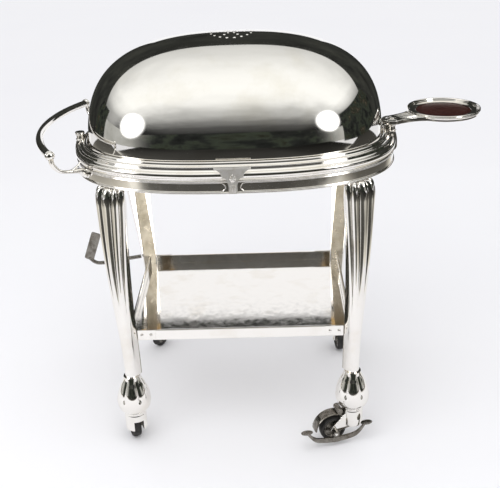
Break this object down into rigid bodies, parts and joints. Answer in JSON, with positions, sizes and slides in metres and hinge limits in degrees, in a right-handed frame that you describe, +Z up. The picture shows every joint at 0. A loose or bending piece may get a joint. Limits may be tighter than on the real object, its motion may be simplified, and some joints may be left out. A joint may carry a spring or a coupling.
{
  "type": "carving trolley",
  "caption": "Roll-top carving trolley: an oval domed cover on a deep rim, reeded legs, a lower shelf, castors, a push handle and a swing-out plate stand.",
  "frame": {"origin": "on the floor, directly below the middle of the oval table", "axes": "+X along the cover's hinge line towards the plate stand, +Y to the back, +Z up"},
  "size_m": [1.2337, 0.6669, 1.1139],
  "materials": {
    "silver_plate": "polished silver plate, softly worn",
    "worn_brass": "brass showing through worn plate",
    "dull_steel": "dull, handled",
    "burner_brass": "satin",
    "tyre": "matt",
    "inlay": "dark red-brown, semi-gloss"
  },
  "bodies": {
    "trolley": {"rim_apron": "silver_plate", "rim_moulding": "silver_plate", "front_keystone": "silver_plate", "rear_keystone": "silver_plate", "left_post": "silver_plate", "right_post": "silver_plate", "left_pivot_pin": "dull_steel", "right_pivot_pin": "dull_steel", "front_left_leg": "silver_plate", "front_left_leg_back": "worn_brass", "front_left_foot": "silver_plate", "front_right_leg": "silver_plate", "front_right_leg_back": "worn_brass", "front_right_foot": "silver_plate", "rear_left_leg": "silver_plate", "rear_left_leg_back": "worn_brass", "rear_left_foot": "silver_plate", "rear_right_leg": "silver_plate", "rear_right_leg_back": "worn_brass", "rear_right_foot": "silver_plate", "shelf_plate": "silver_plate", "shelf_front_rail": "silver_plate", "shelf_rear_rail": "silver_plate", "shelf_left_rail": "silver_plate", "shelf_right_rail": "silver_plate", "side_rest": "dull_steel", "water_pan": "silver_plate", "burner_cradle": "burner_brass", "handle_grip": "silver_plate", "handle_front_ferrule": "silver_plate", "handle_rear_ferrule": "silver_plate", "handle_front_bracket": "silver_plate", "handle_rear_bracket": "silver_plate", "stand_screw": "silver_plate"},
    "cover": {"roll_cover": "silver_plate", "left_cover_ear": "silver_plate", "right_cover_ear": "silver_plate"},
    "plate_stand": {"stand_arm": "silver_plate", "stand_ring": "silver_plate", "stand_inlay": "inlay"},
    "plate": {"carving_plate": "silver_plate"},
    "left_lid": {"left_well_lid": "silver_plate"},
    "right_lid": {"right_well_lid": "silver_plate"},
    "left_lamp": {"left_burner": "burner_brass"},
    "right_lamp": {"right_burner": "burner_brass"},
    "front_left_castor": {"front_left_castor_fork": "silver_plate"},
    "front_left_wheel": {"front_left_wheel_centre": "dull_steel", "front_left_tyre": "tyre"},
    "front_right_castor": {"front_right_castor_fork": "silver_plate", "front_right_wheel_hood": "dull_steel"},
    "front_right_wheel": {"front_right_wheel_centre": "dull_steel", "front_right_tyre": "tyre"},
    "brake": {"front_right_brake": "dull_steel"},
    "rear_left_castor": {"rear_left_castor_fork": "silver_plate"},
    "rear_left_wheel": {"rear_left_wheel_centre": "dull_steel", "rear_left_tyre": "tyre"},
    "rear_right_castor": {"rear_right_castor_fork": "silver_plate"},
    "rear_right_wheel": {"rear_right_wheel_centre": "dull_steel", "rear_right_tyre": "tyre"}
  },
  "joints": [
    {"name": "cover_roll", "type": "hinge", "parent": "trolley", "child": "cover", "pos_m": [0, 0, 0.841], "axis": [-1, 0, 0], "range_deg": [0, 170]},
    {"name": "plate_stand_swivel", "type": "hinge", "parent": "trolley", "child": "plate_stand", "pos_m": [0.433, 0, 0.858], "axis": [0, 0, 1], "range_deg": [-92, 38]},
    {"name": "carving_plate_lift", "type": "slide", "parent": "trolley", "child": "plate", "axis": [0, 0, 1], "range_m": [0, 0.04]},
    {"name": "left_lid_lift", "type": "slide", "parent": "plate", "child": "left_lid", "axis": [0, 0, 1], "range_m": [0, 0.04]},
    {"name": "right_lid_lift", "type": "slide", "parent": "plate", "child": "right_lid", "axis": [0, 0, 1], "range_m": [0, 0.04]},
    {"name": "left_burner_draw", "type": "slide", "parent": "trolley", "child": "left_lamp", "axis": [0, -1, 0], "range_m": [0, 0.09]},
    {"name": "right_burner_draw", "type": "slide", "parent": "trolley", "child": "right_lamp", "axis": [0, -1, 0], "range_m": [0, 0.09]},
    {"name": "front_left_castor_swivel", "type": "hinge", "parent": "trolley", "child": "front_left_castor", "pos_m": [-0.309, -0.258, 0.1], "axis": [0, 0, 1], "continuous": true},
    {"name": "front_left_wheel_spin", "type": "hinge", "parent": "front_left_castor", "child": "front_left_wheel", "pos_m": [-0.32039, -0.23242, 0.038], "axis": [-0.9135, -0.4067, 0], "continuous": true},
    {"name": "front_right_castor_swivel", "type": "hinge", "parent": "trolley", "child": "front_right_castor", "pos_m": [0.309, -0.258, 0.1], "axis": [0, 0, 1], "continuous": true},
    {"name": "front_right_wheel_spin", "type": "hinge", "parent": "front_right_castor", "child": "front_right_wheel", "pos_m": [0.25201, -0.27327, 0.038], "axis": [0.2588, -0.9659, 0], "continuous": true},
    {"name": "brake_rock", "type": "hinge", "parent": "front_right_castor", "child": "brake", "pos_m": [0.25201, -0.27327, 0.038], "axis": [0.2588, -0.9659, 0], "range_deg": [-8, 8]},
    {"name": "rear_left_castor_swivel", "type": "hinge", "parent": "trolley", "child": "rear_left_castor", "pos_m": [-0.309, 0.258, 0.1], "axis": [0, 0, 1], "continuous": true},
    {"name": "rear_left_wheel_spin", "type": "hinge", "parent": "rear_left_castor", "child": "rear_left_wheel", "pos_m": [-0.29761, 0.28358, 0.038], "axis": [-0.9135, 0.4067, 0], "continuous": true},
    {"name": "rear_right_castor_swivel", "type": "hinge", "parent": "trolley", "child": "rear_right_castor", "pos_m": [0.309, 0.258, 0.1], "axis": [0, 0, 1], "continuous": true},
    {"name": "rear_right_wheel_spin", "type": "hinge", "parent": "rear_right_castor", "child": "rear_right_wheel", "pos_m": [0.3129, 0.23027, 0.038], "axis": [0.9903, 0.1392, 0], "continuous": true}
  ]
}
